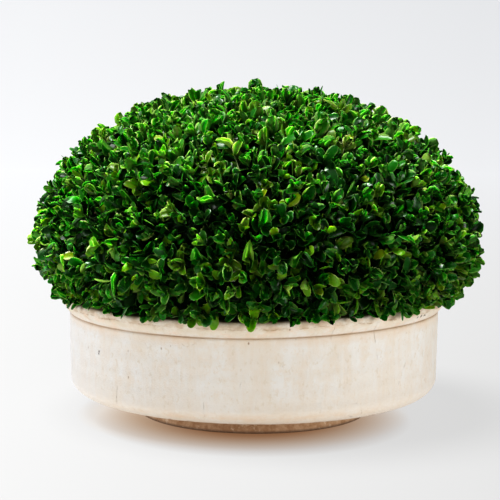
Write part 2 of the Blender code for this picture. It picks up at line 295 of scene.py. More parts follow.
def revolved(profile, sides):
    """Points and quads of a line turned about Z, closed by a point at each end on the axis."""
    rings = np.array(profile[1:-1])
    angles = np.arange(sides) * 2 * math.pi / sides
    across = np.stack([np.cos(angles), np.sin(angles)], -1)
    body = np.empty((len(rings), sides, 3))
    body[:, :, :2] = rings[:, None, :1] * across[None]
    body[:, :, 2] = rings[:, None, 1]
    points = np.concatenate([body.reshape(-1, 3), [[0, 0, profile[0][1]]], [[0, 0, profile[-1][1]]]])
    near = np.arange(sides)
    far = (near + 1) % sides
    rows = np.arange(len(rings) - 1)[:, None] * sides
    quads = np.stack([rows + near, rows + sides + near, rows + sides + far, rows + far], -1).reshape(-1, 4)
    first, last = len(points) - 2, len(points) - 1
    top = np.stack([np.full(sides, first), near, far], -1)
    base = (len(rings) - 1) * sides
    bottom = np.stack([np.full(sides, last), base + far, base + near], -1)
    return points, quads, np.concatenate([top, bottom])


def nodes_of(material):
    return material.node_tree.nodes, material.node_tree.links


def plain_material(name, colour, roughness, specular=0.5):
    material = bpy.data.materials.new(name)
    material.use_nodes = True
    shader = material.node_tree.nodes["Principled BSDF"]
    shader.inputs["Base Color"].default_value = (*colour, 1.0)
    shader.inputs["Roughness"].default_value = roughness
    shader.inputs["Specular IOR Level"].default_value = specular
    return material


def leaf_material(name, colour, roughness, specular):
    """A thin leaf: part of the light that falls on one side comes out of the other."""
    material = plain_material(name, colour, roughness, specular)
    shader = material.node_tree.nodes["Principled BSDF"]
    shader.inputs["Subsurface Weight"].default_value = LEAF_SCATTER
    shader.inputs["Subsurface Radius"].default_value = LEAF_SCATTER_REACH
    shader.inputs["Subsurface Scale"].default_value = LEAF_SCATTER_SCALE
    return material


class Wiring:
    """Short calls for the nodes of one material, all read in object coordinates."""

    def __init__(self, name, roughness):
        self.material = plain_material(name, (0.5, 0.5, 0.5), roughness)
        self.nodes, self.links = nodes_of(self.material)
        self.shader = self.nodes["Principled BSDF"]
        self.place = self.nodes.new("ShaderNodeTexCoord").outputs["Object"]

    def stretched(self, scale, shift=(0.0, 0.0, 0.0)):
        node = self.nodes.new("ShaderNodeMapping")
        node.inputs["Scale"].default_value = scale
        node.inputs["Location"].default_value = shift
        self.links.new(self.place, node.inputs["Vector"])
        return node.outputs["Vector"]

    def cloud(self, scale, detail=4.0, rough=0.55, stretch=(1.0, 1.0, 1.0), shift=(0.0, 0.0, 0.0), warp=0.0):
        node = self.nodes.new("ShaderNodeTexNoise")
        node.inputs["Scale"].default_value = scale
        node.inputs["Detail"].default_value = detail
        node.inputs["Roughness"].default_value = rough
        node.inputs["Distortion"].default_value = warp
        self.links.new(self.stretched(stretch, shift), node.inputs["Vector"])
        return node.outputs["Fac"]

    def cells(self, scale, stretch=(1.0, 1.0, 1.0), shift=(0.0, 0.0, 0.0)):
        node = self.nodes.new("ShaderNodeTexVoronoi")
        node.inputs["Scale"].default_value = scale
        self.links.new(self.stretched(stretch, shift), node.inputs["Vector"])
        return node.outputs["Distance"]

    def band(self, value, low, high, start=0.0, end=1.0):
        """value, taken from low..high to start..end and held there outside it."""
        node = self.nodes.new("ShaderNodeMapRange")
        for key, number in (("From Min", low), ("From Max", high), ("To Min", start), ("To Max", end)):
            node.inputs[key].default_value = number
        self.links.new(value, node.inputs["Value"])
        return node.outputs["Result"]

    def sum(self, operation, first, second):
        node = self.nodes.new("ShaderNodeMath")
        node.operation = operation
        for socket, value in zip(node.inputs, (first, second)):
            if isinstance(value, (int, float)):
                socket.default_value = value
            else:
                self.links.new(value, socket)
        return node.outputs["Value"]

    def mix(self, share, first, second, blend="MIX"):
        node = self.nodes.new("ShaderNodeMix")
        node.data_type = "RGBA"
        node.blend_type = blend
        for socket, value in zip((node.inputs[0], node.inputs[6], node.inputs[7]), (share, first, second)):
            if isinstance(value, tuple):
                socket.default_value = (*value, 1.0)
            elif isinstance(value, (int, float)):
                socket.default_value = value
            else:
                self.links.new(value, socket)
        return node.outputs[2]

    def split(self):
        node = self.nodes.new("ShaderNodeSeparateXYZ")
        self.links.new(self.place, node.inputs["Vector"])
        return node.outputs

    def length(self, first, second):
        squares = self.sum("ADD", self.sum("MULTIPLY", first, first), self.sum("MULTIPLY", second, second))
        return self.sum("SQRT", squares, 0.0)

    def near(self, spot, radius, edge=0.5):
        """1 within radius of a place on the piece, falling to 0 past it."""
        node = self.nodes.new("ShaderNodeVectorMath")
        node.operation = "DISTANCE"
        node.inputs[1].default_value = spot
        self.links.new(self.place, node.inputs[0])
        return self.band(node.outputs["Value"], radius * (1 - edge), radius * (1 + edge), 1.0, 0.0)

    def finish(self, colour, roughness=None, height=None, depth=0.0005, strength=1.0):
        self.links.new(colour, self.shader.inputs["Base Color"])
        if roughness is not None:
            self.links.new(roughness, self.shader.inputs["Roughness"])
        if height is not None:
            bump = self.nodes.new("ShaderNodeBump")
            bump.inputs["Distance"].default_value = depth
            bump.inputs["Strength"].default_value = strength
            self.links.new(height, bump.inputs["Height"])
            self.links.new(bump.outputs["Normal"], self.shader.inputs["Normal"])
        return self.material


# Bowl
def lip_face(steps):
    """The lip's outer face, which curves in from its widest ring down to the groove."""
    top = LIP_TOP_Z - LIP_ROUND
    bottom = GROOVE_Z + GROOVE_HALF
    shares = [step / steps for step in range(1, steps + 1)]
    return [(NECK_RADIUS + LIP_FLARE * (1 - s**LIP_FLARE_POWER), top + (bottom - top) * s) for s in shares]


def bowl_profile():
    """The bowl's section from the middle of its floor, over the lip, to the middle of its foot."""
    round_in = (INNER_ROUND, INNER_ROUND)
    round_lip = (LIP_ROUND, LIP_ROUND)
    lip_z = LIP_TOP_Z - LIP_ROUND
    corner_radius = BODY_FOOT_RADIUS - CORNER_WIDTH
    corner_z = UNDERSIDE_Z + CORNER_HEIGHT
    groove_r = NECK_RADIUS - GROOVE_DEPTH
    inside = [(0.0, FLOOR_Z)]
    inside += arc((INNER_RADIUS - INNER_ROUND, FLOOR_Z + INNER_ROUND), round_in, -90, 0, 6)
    outside = arc((INNER_RADIUS + LIP_ROUND, lip_z), round_lip, 180, 90, 5)
    outside += arc((LIP_RADIUS - LIP_ROUND, lip_z), round_lip, 90, 0, 6)
    outside += lip_face(10)
    outside += [(groove_r + 0.0003, GROOVE_Z + 0.0003), (groove_r, GROOVE_Z)]
    outside += [(groove_r + 0.0003, GROOVE_Z - 0.0004), (NECK_RADIUS, GROOVE_Z - GROOVE_HALF)]
    outside += arc((corner_radius, corner_z), (CORNER_WIDTH, CORNER_HEIGHT), 0, -90, 18)
    foot = arc((FOOT_RADIUS + FOOT_FILLET, UNDERSIDE_Z - FOOT_FILLET), (FOOT_FILLET, FOOT_FILLET), 90, 180, 3)
    foot += arc((FOOT_RADIUS - FOOT_FILLET, FOOT_FILLET), (FOOT_FILLET, FOOT_FILLET), 0, -90, 4)
    coarse = refined(inside, 0.02)
    fine = refined([inside[-1]] + outside + foot, 0.0024)[1:]
    return coarse + fine + [(0.09, 0.0), (0.0, 0.0)]


def wash(w):
    """The cream wash: pale and warm clouds over each other, soft runs down it, rubbed thin in spots."""
    colour = w.mix(w.band(w.cloud(30.0, 5.0, 0.65, stretch=(1.0, 1.0, 0.5)), 0.40, 0.60), WASH_CREAM, WASH_PALE)
    warm = w.band(w.cloud(52.0, 5.0, 0.65, stretch=(1.0, 1.0, 0.6), shift=(3.0, 1.0, 2.0)), 0.46, 0.64, 0.0, 0.8)
    colour = w.mix(warm, colour, WASH_WARM)
    thin = w.band(w.cloud(130.0, 4.0, 0.7, shift=(8.0, 2.0, 5.0)), 0.52, 0.66, 0.0, 0.6)
    colour = w.mix(thin, colour, WASH_WARM)
    streak = w.band(w.cloud(110.0, 3.0, 0.6, stretch=(1.0, 1.0, 0.09)), 0.48, 0.66, 0.0, 0.5)
    colour = w.mix(streak, colour, WASH_PALE)
    run = w.cloud(42.0, 3.0, 0.6, stretch=(1.0, 1.0, 0.12), shift=(5.0, 2.0, 0.0))
    colour = w.mix(w.band(run, 0.56, 0.76, 0.0, 0.30), colour, WASH_PEACH)
    fleck = w.band(w.cloud(240.0, 3.0, 0.6, stretch=(1.0, 1.0, 0.7), shift=(3.0, 7.0, 1.0)), 0.58, 0.68, 0.0, 0.45)
    colour = w.mix(fleck, colour, WASH_TAN)
    return colour, streak


def scratches(w):
    """Short thin lines here and there: the places where a drawn-out cloud crosses its middle."""
    lines = w.cloud(30.0, 0.0, 0.5, stretch=(1.0, 1.0, 0.30), shift=(2.0, 9.0, 6.0))
    thin = w.band(w.sum("ABSOLUTE", w.sum("SUBTRACT", lines, 0.5), 0.0), 0.001, 0.006, 1.0, 0.0)
    return w.sum("MULTIPLY", thin, w.band(w.cloud(75.0, 2.0, 0.5, shift=(4.0, 4.0, 1.0)), 0.56, 0.66, 0.0, 0.4))


def bowl_material():
    """Fired clay under a thin cream wash, rubbed back along the edges and streaked by water, with painted light and
    shade: a whiter left side, a seam fading out on the left, a darker foot and a dark line where the foot meets the
    floor.
    """
    w = Wiring("whitewashed_terracotta", 0.8)
    x, y, z = w.split()
    colour, streak = wash(w)
    ragged = w.cloud(70.0, 4.0, 0.65, stretch=(1.0, 1.0, 3.0), shift=(1.0, 7.0, 4.0))
    patchy = w.cloud(17.0, 3.0, 0.6, stretch=(1.0, 1.0, 0.5), shift=(9.0, 3.0, 1.0))
    smudge = w.cloud(48.0, 5.0, 0.7, stretch=(1.0, 1.0, 2.0), shift=(6.0, 5.0, 3.0))
    height = w.sum("ADD", z, w.band(ragged, 0.3, 0.7, -0.0015, 0.0015))
    lift = w.sum("MULTIPLY", w.sum("MAXIMUM", x, 0.0), w.sum("MINIMUM", y, 0.0))
    lift = w.sum("SUBTRACT", w.sum("MULTIPLY", x, LIP_TILT), w.sum("MULTIPLY", lift, LIP_LIFT))
    level = w.sum("SUBTRACT", z, lift)
    rough_level = w.sum("SUBTRACT", height, lift)
    low = w.sum("MULTIPLY", w.band(height, 0.025, 0.060, 1.0, 0.0), w.band(patchy, 0.30, 0.60, 0.25, 0.75))
    colour = w.mix(low, colour, WASH_WARM)
    # Painted light: whiter towards the bowl's left side, where the lamp falls.
    colour = w.mix(w.band(x, -0.186, -0.135, 0.70, 0.0), colour, PAINTED_LIGHT_WHITE)
    scratch = scratches(w)
    colour = w.mix(w.sum("MULTIPLY", scratch, 0.45), colour, CLAY_TAN)

    on_lip = w.band(level, GROOVE_Z, GROOVE_Z + 0.0010)
    high_lip = w.band(rough_level, GROOVE_Z + 0.0020, LIP_RUB_Z - 0.0015, 0.40, 1.0)
    tan = w.sum("MULTIPLY", w.sum("MULTIPLY", on_lip, high_lip), w.band(smudge, 0.34, 0.60, 0.30, 1.0))
    colour = w.mix(tan, colour, WASH_TAN)
    rosy = w.band(w.cloud(65.0, 4.0, 0.7, stretch=(1.0, 1.0, 1.8), shift=(5.0, 8.0, 2.0)), 0.50, 0.66, 0.0, 0.6)
    colour = w.mix(w.sum("MULTIPLY", on_lip, rosy), colour, WASH_ROSY)
    worn_lip = w.band(rough_level, LIP_RUB_Z - 0.0022, LIP_RUB_Z)
    colour = w.mix(w.sum("MULTIPLY", worn_lip, w.band(smudge, 0.42, 0.66, 0.0, 0.65)), colour, CLAY_TAN)
    line = w.sum("MULTIPLY", hump(w, rough_level, LIP_RUB_Z, 0.0009), w.band(smudge, 0.42, 0.60, 0.0, 0.65))
    colour = w.mix(line, colour, CLAY_BROWN)
    rim = w.band(level, LIP_TOP_Z - 0.0012, LIP_TOP_Z - 0.0002)
    colour = w.mix(w.sum("MULTIPLY", rim, w.band(ragged, 0.40, 0.60, 0.2, 0.8)), colour, CLAY_TAN)
    # A warmer peach band just below the groove, in patches.
    below_groove_peach = w.sum("MULTIPLY", w.band(rough_level, GROOVE_Z - 0.010, GROOVE_Z - 0.001), w.band(patchy, 0.36, 0.60, 0.2, 0.85))
    below_groove_peach = w.sum("MULTIPLY", below_groove_peach, w.band(level, GROOVE_Z, GROOVE_Z + 0.0008, 1.0, 0.0))
    colour = w.mix(below_groove_peach, colour, WASH_PEACH)
    groove = w.sum("MULTIPLY", hump(w, level, GROOVE_Z, 0.0014), w.band(smudge, 0.3, 0.7, 0.3, 0.7))
    colour = w.mix(groove, colour, CLAY_TAN)
    seam_and_painted_light = w.sum("MULTIPLY", hump(w, level, GROOVE_Z, 0.0007), w.band(patchy, 0.36, 0.6, 0.3, 0.9))
    # Painted light: the seam line fades out towards the bowl's left side, where the lamp falls.
    seam_and_painted_light = w.sum("MULTIPLY", seam_and_painted_light, w.band(x, -0.18, -0.09, 0.3, 1.0))
    colour = w.mix(seam_and_painted_light, colour, SEAM_BROWN)

    # The underside and foot: bare clay, partly its own colour and partly a painted shade for the shade under the body.
    bare_clay_and_shade = w.mix(w.band(w.cloud(110.0, 5.0, 0.75, shift=(2.0, 6.0, 8.0)), 0.42, 0.58, 0.0, 0.85), CLAY_TAN, CLAY_BROWN)
    bare_clay_and_shade = w.mix(w.band(w.cloud(70.0, 4.0, 0.7, shift=(7.0, 1.0, 2.0)), 0.54, 0.62, 0.0, 0.6), bare_clay_and_shade, WASH_TAN)
    colour = w.mix(w.band(height, UNDERSIDE_Z + 0.0005, UNDERSIDE_Z + 0.0024, 1.0, 0.0), colour, bare_clay_and_shade)
    # Painted shadow: a dark line along the foot's bottom edge, where it meets the floor.
    foot_contact_shadow = w.band(z, 0.0008, 0.0034, 0.8, 0.0)
    colour = w.mix(foot_contact_shadow, colour, DARK_PITS_AND_SHADOW)
    edge = w.sum("MULTIPLY", hump(w, height, UNDERSIDE_Z + 0.008, 0.007), w.band(smudge, 0.42, 0.62, 0.0, 0.7))
    edge = w.sum("MULTIPLY", edge, w.band(w.sum("ABSOLUTE", x, 0.0), 0.07, 0.15, 1.0, 0.2))
    colour = w.mix(edge, colour, WASH_PEACH)

    specks = w.band(w.cells(110.0, stretch=(1.0, 1.0, 0.6)), 0.04, 0.11, 0.75, 0.0)
    specks = w.sum("MULTIPLY", specks, w.band(w.cloud(21.0, 3.0, 0.5, shift=(1.0, 2.0, 9.0)), 0.55, 0.63))
    colour = w.mix(specks, colour, CLAY_BROWN)
    marks = w.sum("MULTIPLY", specks, 0.25)
    for azimuth, mark_z, radius in BOWL_MARKS:
        angle = math.radians(azimuth)
        reach = NECK_RADIUS + (LIP_FLARE * 0.7 if mark_z > GROOVE_Z else 0.0)
        marks = w.sum("MAXIMUM", marks, w.near((reach * math.cos(angle), reach * math.sin(angle), mark_z), radius))
    colour = w.mix(w.sum("MULTIPLY", marks, 0.7), colour, DARK_PITS_AND_SHADOW)
    inner = w.band(w.length(x, y), INNER_RADIUS + 0.001, INNER_RADIUS + 0.003, 0.8, 0.0)
    inner = w.sum("MULTIPLY", inner, w.band(z, FLOOR_Z - 0.006, FLOOR_Z - 0.002))
    colour = w.mix(inner, colour, CLAY_TAN)

    grain = w.sum("MULTIPLY", w.cloud(900.0, 3.0, 0.7), 0.30)
    skin = w.sum("MULTIPLY", w.cloud(120.0, 6.0, 0.65), 0.9)
    relief = w.sum("ADD", grain, skin)
    relief = w.sum("ADD", relief, w.sum("MULTIPLY", streak, 0.5))
    relief = w.sum("SUBTRACT", relief, w.sum("MULTIPLY", w.sum("MAXIMUM", marks, scratch), 2.0))
    rough = w.band(w.cloud(40.0), 0.3, 0.7, 0.72, 0.92)
    return w.finish(colour, rough, relief, depth=0.0007)


def hump(w, value, middle, half):
    """1 where value is at middle, falling evenly to 0 at half either side."""
    away = w.sum("ABSOLUTE", w.sum("SUBTRACT", value, middle), 0.0)
    return w.band(away, 0.0, half, 1.0, 0.0)


def lip_lift(points):
    """How far the hand-made lip stands above its level: it tilts, and swells at the front right."""
    x, y = points[..., 0], points[..., 1]
    return LIP_TILT * x - LIP_LIFT * np.maximum(x, 0) * np.minimum(y, 0)


def make_bowl():
    points, quads, caps = revolved(bowl_profile(), BOWL_SIDES)
    radius = np.hypot(points[:, 0], points[:, 1])
    angle = np.arctan2(points[:, 1], points[:, 0])
    outer = np.clip((radius - FOOT_RADIUS) / 0.03, 0, 1) * np.clip(points[:, 2] / 0.03, 0, 1)
    wave = 0.5 * np.sin(3 * angle + 0.6) + 0.3 * np.sin(5 * angle + 2.1) + 0.2 * np.sin(11 * angle + 30 * points[:, 2])
    wave += 0.35 * np.sin(420 * points[:, 2] + 1.5 * np.sin(2 * angle))
    swell = 1 + HAND_WAVE * wave * outer / np.maximum(radius, 0.05)
    points[:, 0] *= swell
    points[:, 1] *= swell
    raised = np.clip((points[:, 2] - 0.085) / 0.015, 0, 1)
    points[:, 2] += lip_lift(points) * raised * (radius > 0.1)
    bowl = mesh_object("bowl", points, [quads, caps], [bowl_material()])
    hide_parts("pot")
    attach(bowl, "root")
    return bowl


# Filling, stem and the boughs that spread from it
def filling_material():
    w = Wiring("dry_filling", 0.95)
    shade = w.mix(w.band(w.cloud(160.0, 5.0, 0.7), 0.35, 0.65), (0.035, 0.024, 0.016), (0.13, 0.085, 0.05))
    return w.finish(shade, None, w.cloud(420.0, 5.0, 0.7), depth=0.002)


def bark_material():
    w = Wiring("bark", 0.85)
    ridges = w.cloud(260.0, 4.0, 0.6, stretch=(1.0, 1.0, 0.16))
    colour = w.mix(w.band(ridges, 0.35, 0.65), STEM_DARK, STEM_LIGHT)
    return w.finish(colour, None, ridges, depth=0.0012)


def make_filling():
    reach = INNER_RADIUS - CLEAR
    profile = [(0.0, FILL_TOP_Z)] + [(reach * k / 60, FILL_TOP_Z) for k in range(1, 61)]
    profile += arc((INNER_RADIUS - INNER_ROUND, FLOOR_Z + INNER_ROUND), (INNER_ROUND - CLEAR,) * 2, 0, -90, 6)
    profile += [(0.0, FLOOR_Z + CLEAR)]
    points, quads, caps = revolved(profile, 240)
    top = points[:, 2] > FILL_TOP_Z - 0.001
    away = np.hypot(points[:, 0], points[:, 1])
    for index in np.flatnonzero(top & (away > STEM_TOP_RADIUS + STEM_FLARE + 0.004)):
        lump = noise.noise(Vector(points[index]) * 120) + 0.5 * noise.noise(Vector(points[index]) * 260)
        points[index, 2] += 0.002 * lump - 0.001
    filling = mesh_object("filling", points, [quads, caps], [filling_material()])
    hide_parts("pot_fill")
    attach(filling, "root")


def make_stem(bark):
    foot = FILL_TOP_Z + CLEAR
    length = STEM_TOP_Z - foot
    rows = [length * (1 - row / 40) ** 1.2 for row in range(41)]
    profile = [(0.0, STEM_TOP_Z)]
    for height in rows:
        flare = STEM_FLARE * math.exp(-height / STEM_FLARE_HEIGHT)
        profile.append((STEM_TOP_RADIUS + STEM_TAPER * (1 - height / length) + flare, foot + height))
    profile.append((0.0, foot))
    points, quads, caps = revolved(profile, 72)
    angle = np.arctan2(points[:, 1], points[:, 0])
    ridge = 0.035 * np.sin(7 * angle + 60 * points[:, 2]) + 0.02 * np.sin(17 * angle - 90 * points[:, 2])
    points[:, :2] *= (1 - 0.055 + ridge)[:, None]
    stem = mesh_object("stem_bark", points, [quads, caps], [bark])
    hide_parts("stem")
    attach(stem, "root")


# Crown outline
def crown_level(points):
    """1 on the clipped outline, less inside it, more outside, for an array of points."""
    rise = np.where(points[..., 2] > CROWN_EQUATOR_Z, CROWN_RISE, CROWN_DROP)
    across = np.hypot(points[..., 0], points[..., 1]) / CROWN_RADIUS
    along = np.abs(points[..., 2] - CROWN_EQUATOR_Z) / rise
    return across**CROWN_POWER + along**CROWN_POWER


def crown_outline(skirt_z, steps, inset=0.0):
    """(radius, height) rows from the top down to the skirt, drawn in at the top and sides."""
    lowest = -math.asin(((CROWN_EQUATOR_Z - skirt_z) / CROWN_DROP) ** (CROWN_POWER / 2))
    angle = np.linspace(math.pi / 2, lowest, steps + 1)
    rise = np.where(angle > 0, CROWN_RISE - inset, CROWN_DROP)
    across = np.maximum(0, np.cos(angle)) ** (2 / CROWN_POWER)
    along = np.sign(angle) * np.abs(np.sin(angle)) ** (2 / CROWN_POWER)
    return np.stack([(CROWN_RADIUS - inset) * across, CROWN_EQUATOR_Z + rise * along], -1)


def crown_normals(points):
    rise = np.where(points[:, 2] > CROWN_EQUATOR_Z, CROWN_RISE, CROWN_DROP)
    ring = np.maximum(np.hypot(points[:, 0], points[:, 1]), 1e-6)
    across = (ring / CROWN_RADIUS) ** (CROWN_POWER - 1) / CROWN_RADIUS
    height = points[:, 2] - CROWN_EQUATOR_Z
    along = np.sign(height) * (np.abs(height) / rise) ** (CROWN_POWER - 1) / rise
    return unit(np.stack([points[:, 0] * across / ring, points[:, 1] * across / ring, along], -1))


def unit(vectors):
    return vectors / np.linalg.norm(vectors, axis=-1, keepdims=True)


def even_points(count):
    """Points spread evenly over the outline: equal areas down it, a golden angle round it."""
    outline = crown_outline(CROWN_SKIRT_Z, OUTLINE_STEPS)
    steps = np.diff(outline, axis=0)
    area = np.concatenate([[0], np.cumsum((outline[1:, 0] + outline[:-1, 0]) * np.hypot(*steps.T))])
    wanted = area[-1] * (np.arange(count) + 0.5) / count
    radius = np.interp(wanted, area, outline[:, 0])
    height = np.interp(wanted, area, outline[:, 1])
    angle = np.arange(count) * GOLDEN_ANGLE
    return np.stack([radius * np.cos(angle), radius * np.sin(angle), height], -1)


def make_form():
    """The dark form inside the crown that the sprigs stand out of; its near-black colour is a painted shade for the
    crown's depths.
    """
    outline = crown_outline(LIP_TOP_Z + 0.004, 60, FORM_INSET)
    outline[0, 0] = 0.0
    throat = [(INNER_RADIUS - 0.010, LIP_TOP_Z), (INNER_RADIUS - 0.010, 0.108)]
    hollow = [(0.0215, 0.1600), (STEM_TOP_RADIUS, 0.1590), (STEM_TOP_RADIUS, STEM_TOP_Z + CLEAR)]
    profile = refined([tuple(row) for row in outline] + throat + hollow, 0.004) + [(0.0, STEM_TOP_Z + CLEAR)]
    points, quads, caps = revolved(profile, 300)
    normals = crown_normals(points)
    outer = np.clip((points[:, 2] - LIP_TOP_Z) / 0.01, 0, 1)
    lumps = np.array([noise.noise(Vector(p) * 55) + 0.6 * noise.noise(Vector(p) * 130) for p in points])
    points += normals * (0.0035 * lumps * outer)[:, None]
    # Painted shade: a near-black colour for the crown's depths between the sprigs.
    w = Wiring("painted_shade_core", 0.95)
    shade = w.mix(w.band(w.cloud(110.0, 5.0, 0.7), 0.35, 0.65), (0.002, 0.004, 0.0015), (0.007, 0.013, 0.004))
    form = mesh_object("shaded_core_form", points, [quads, caps], [w.finish(shade, None, w.cloud(300.0), depth=0.003)])
    return form


# Leaves
def leaf_template(stations, across):
    """A closed leaf: its points as (along, across, under) and its faces by size, with finishes.

    Each station has one point for each place across the top and one below the middle;
    the root and the tip are single points. Finishes: 0 blade, 1 margin, 2 underside.
    """
    row = len(across) + 1
    points = [(0.0, 0.0, 0.0)]
    for along, width in stations:
        points += [(along, u * width, 0.0) for u in across] + [(along, 0.0, 1.0)]
    points.append((1.0, 0.0, 0.0))
    last = len(points) - 1
    quads, triangles, quad_looks, triangle_looks = [], [], [], []
    strips = len(across) - 1
    looks = [1 if strips > 2 and k in (0, strips - 1) else 0 for k in range(strips)]
    for k in range(strips):
        triangles.append((0, 1 + k, 2 + k))
        base = 1 + (len(stations) - 1) * row
        triangles.append((last, base + k + 1, base + k))
        triangle_looks += [looks[k], looks[k]]
    for edge, flip in ((0, False), (strips, True)):
        for tip, base in ((0, 1), (last, 1 + (len(stations) - 1) * row)):
            corners = (tip, base + strips + 1, base + edge)
            triangles.append(corners if flip ^ (tip == last) else corners[::-1])
            triangle_looks.append(2)
    for station in range(len(stations) - 1):
        near, far = 1 + station * row, 1 + (station + 1) * row
        for k in range(strips):
            quads.append((near + k, far + k, far + k + 1, near + k + 1))
            quad_looks.append(looks[k])
        quads.append((near, near + strips + 1, far + strips + 1, far))
        quads.append((near + strips, far + strips, far + strips + 1, near + strips + 1))
        quad_looks += [2, 2]
    return np.array(points), np.array(quads), np.array(triangles), np.array(quad_looks), np.array(triangle_looks)


FINE_LEAF = leaf_template(
    ((0.09, 0.24), (0.32, 0.78), (0.60, 1.0), (0.84, 0.84), (0.975, 0.44)), (-1.0, -0.78, 0.0, 0.78, 1.0)
)
PLAIN_LEAF = leaf_template(((0.14, 0.36), (0.56, 1.0), (0.91, 0.66)), (-1.0, 0.0, 1.0))
TEMPLATES = {"tip": PLAIN_LEAF, "outer": FINE_LEAF, "second": FINE_LEAF, "lower": FINE_LEAF, "inner": PLAIN_LEAF}


def leaf_points(template, leaves):
    """Every point of every leaf, as (leaf, point, 3)."""
    along, across, under = template[0].T
    length, half = leaves["length"][:, None], leaves["length"][:, None] * leaves["width"][:, None] / 2
    run = length * along
    run[:, -1] -= leaves["length"] * leaves["notch"]
    side = half * across
    lift = leaves["cup"][:, None] * half * np.abs(across) ** 1.3 - leaves["bend"][:, None] * length * along**2
    lift = lift - LEAF_THICKNESS * under
    shape = run[..., None] * leaves["way"][:, None] + side[..., None] * leaves["side"][:, None]
    return leaves["root"][:, None] + shape + lift[..., None] * leaves["face"][:, None]


def turned_about(vectors, axes, angles):
    """Each vector turned about its own unit axis, by Rodrigues' formula."""
    cos, sin = np.cos(angles)[:, None], np.sin(angles)[:, None]
    along = np.sum(vectors * axes, axis=-1, keepdims=True)
    return vectors * cos + np.cross(axes, vectors) * sin + axes * along * (1 - cos)


def skirt_points():
    """The lowest sprigs, which rest just over the lip and lean out past it: tips and ways out."""
    angle = (np.arange(SKIRT_SPRIGS) + chance.uniform(-0.4, 0.4, SKIRT_SPRIGS)) * 2 * math.pi / SKIRT_SPRIGS
    radius = chance.uniform(*SKIRT_RADIUS, SKIRT_SPRIGS)
    height = chance.uniform(*SKIRT_Z, SKIRT_SPRIGS)
    dip = chance.uniform(*SKIRT_DIP, SKIRT_SPRIGS)
    out = np.stack([np.cos(angle), np.sin(angle)], -1)
    return np.column_stack([out * radius[:, None], height]), unit(np.column_stack([out, dip]))


def leaf_families(family, kind, upward):
    """The spray's own family on its outer leaves, apart from a few, and painted shade further in: darker copies of the
    colours on the deeper leaves, most on the crown's sides and fewest on top.
    """
    draw = chance.uniform(0, 1, len(family))
    if kind == "inner":
        return np.full(len(family), SHADE)
    if kind in HALF_SHADE_SHARE:
        family = np.where(draw > 1 - np.interp(upward, HALF_SHADE_LEAN, HALF_SHADE_SHARE[kind]), HALF_SHADE, family)
    if kind == "lower":
        return family
    lime = YELLOW_SHARE + np.interp(upward, LIME_LEAN, LIME_SHARE)
    return np.where(draw < YELLOW_SHARE, YELLOW, np.where(draw < lime, LIME, family))


def grow_sprigs():
    """The sprigs' tips and ways, and every leaf on them, with the colour family of each."""
    tips = even_points(SPRIG_COUNT)
    normals = crown_normals(tips)
    inset = chance.uniform(*SPRIG_INSET, SPRIG_COUNT) + np.interp(normals[:, 2], (0, 1), CLIPPED_BACK)
    tips = tips - normals * inset[:, None]
    skirt_tips, skirt_ways = skirt_points()
    tips, normals = np.concatenate([tips, skirt_tips]), np.concatenate([normals, skirt_ways])
    count = len(tips)
    lift = np.where(np.arange(count) < SPRIG_COUNT, SPRIG_LIFT, 0.0)
    stray = chance.normal(0, SPRIG_STRAY, (count, 3))
    stray[:, 2] += lift
    ways = unit(normals + stray)
    spin = chance.uniform(0, math.pi, count)
    family = chance.choice(len(FAMILIES), count, p=[row[1] for row in FAMILIES])
    size = chance.normal(1.0, 0.09, count).clip(0.80, 1.20)
    helper = np.where(np.abs(ways[:, 2:]) < 0.9, np.array([[0.0, 0.0, 1.0]]), np.array([[1.0, 0.0, 0.0]]))
    aside = unit(np.cross(ways, helper))
    bend = np.array([0, 0, 1.0]) - ways * ways[:, 2:]
    grown = []
    for index, (depth, splay, length, kind) in enumerate(SPRIG_NODES):
        for half in range(2):
            turn = spin + math.pi / 2 * index + math.pi * half + chance.normal(0, 0.20, count)
            outward = turned_about(aside, ways, turn)
            lean = np.radians(splay) + chance.normal(0, 0.20, count)
            way = ways * np.cos(lean)[:, None] + outward * np.sin(lean)[:, None]
            face = ways * np.sin(lean)[:, None] - outward * np.cos(lean)[:, None]
            face = turned_about(face, way, chance.normal(0, 0.45, count))
            back = depth * size * chance.normal(1.0, 0.08, count)
            leaves = {
                "root": tips - ways * back[:, None] + bend * (0.10 * depth),
                "way": way,
                "face": face,
                "side": np.cross(face, way),
                "length": length * size * chance.normal(1.0, 0.10, count).clip(0.75, 1.25),
                "width": LEAF_WIDTH_SHARE * chance.normal(1.0, 0.10, count),
                "cup": chance.normal(0.42, 0.50, count),
                "bend": chance.normal(0.14, 0.24, count),
                "notch": chance.uniform(0.0, DEEPEST_NOTCH, count),
                "family": leaf_families(family, kind, normals[:, 2]),
                "kind": np.full(count, kind),
            }
            grown.append(leaves)
    leaves = {key: np.concatenate([part[key] for part in grown]) for key in grown[0]}
    return tips, ways, bend, leaves


def touches_bowl(points):
    away = np.hypot(points[..., 0], points[..., 1])
    rim = LIP_TOP_Z + lip_lift(points) + BOWL_CLEAR
    return ((away < LIP_RADIUS + BOWL_CLEAR) & (points[..., 2] < rim)).any(axis=1)


def fit_leaves(leaves):
    """Shorten what would pass the clipped outline or touch the bowl, and drop what still would."""
    for _ in range(6):
        ends = leaf_points(PLAIN_LEAF, leaves)
        past = (crown_level(ends).max(axis=1) > OUTLINE_LIMIT) | touches_bowl(ends)
        leaves["length"] = np.where(past, leaves["length"] * 0.90, leaves["length"])
    ends = leaf_points(FINE_LEAF, leaves)
    keep = ~touches_bowl(ends) & (crown_level(ends).max(axis=1) < OUTLINE_LIMIT + 0.02)
    keep &= leaves["length"] > SHORTEST_LEAF
    return {key: values[keep] for key, values in leaves.items()}


